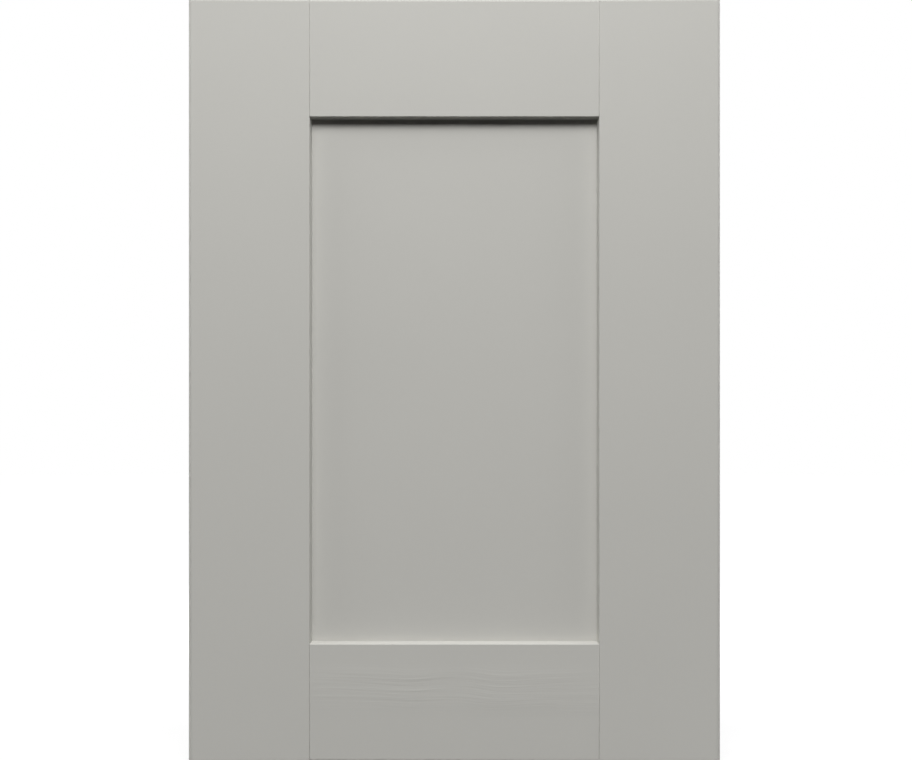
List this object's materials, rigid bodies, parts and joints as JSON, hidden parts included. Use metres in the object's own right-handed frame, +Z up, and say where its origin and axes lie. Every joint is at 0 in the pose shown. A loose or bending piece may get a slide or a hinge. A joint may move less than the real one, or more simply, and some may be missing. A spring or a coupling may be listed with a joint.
{
  "type": "kitchen cabinet door",
  "caption": "Painted framed kitchen cabinet door with a recessed flat centre panel, a sloped inner edge and hinge cup borings in the back.",
  "frame": {"origin": "middle of the door's bottom edge, half way through its thickness", "axes": "+X to the right seen from the front, +Y from the front to the back, +Z up"},
  "size_m": [0.396, 0.022, 0.57],
  "materials": {
    "frame_paint": "satin warm grey paint",
    "panel_paint": "satin warm grey paint",
    "dowel_wood": "bare beech",
    "spacer_rubber": "matt pale rubber"
  },
  "bodies": {
    "root": {"stile_left": "frame_paint", "stile_right": "frame_paint", "rail_bottom": "frame_paint", "rail_top": "frame_paint", "centre_panel": "panel_paint", "dowel_bottom_left_outer": "dowel_wood", "dowel_bottom_left_inner": "dowel_wood", "dowel_bottom_right_outer": "dowel_wood", "dowel_bottom_right_inner": "dowel_wood", "dowel_top_left_outer": "dowel_wood", "dowel_top_left_inner": "dowel_wood", "dowel_top_right_outer": "dowel_wood", "dowel_top_right_inner": "dowel_wood", "panel_spacer_left_lower": "spacer_rubber", "panel_spacer_left_upper": "spacer_rubber", "panel_spacer_right_lower": "spacer_rubber", "panel_spacer_right_upper": "spacer_rubber", "panel_spacer_bottom_left": "spacer_rubber", "panel_spacer_bottom_right": "spacer_rubber", "panel_spacer_top_left": "spacer_rubber", "panel_spacer_top_right": "spacer_rubber"}
  },
  "joints": []
}
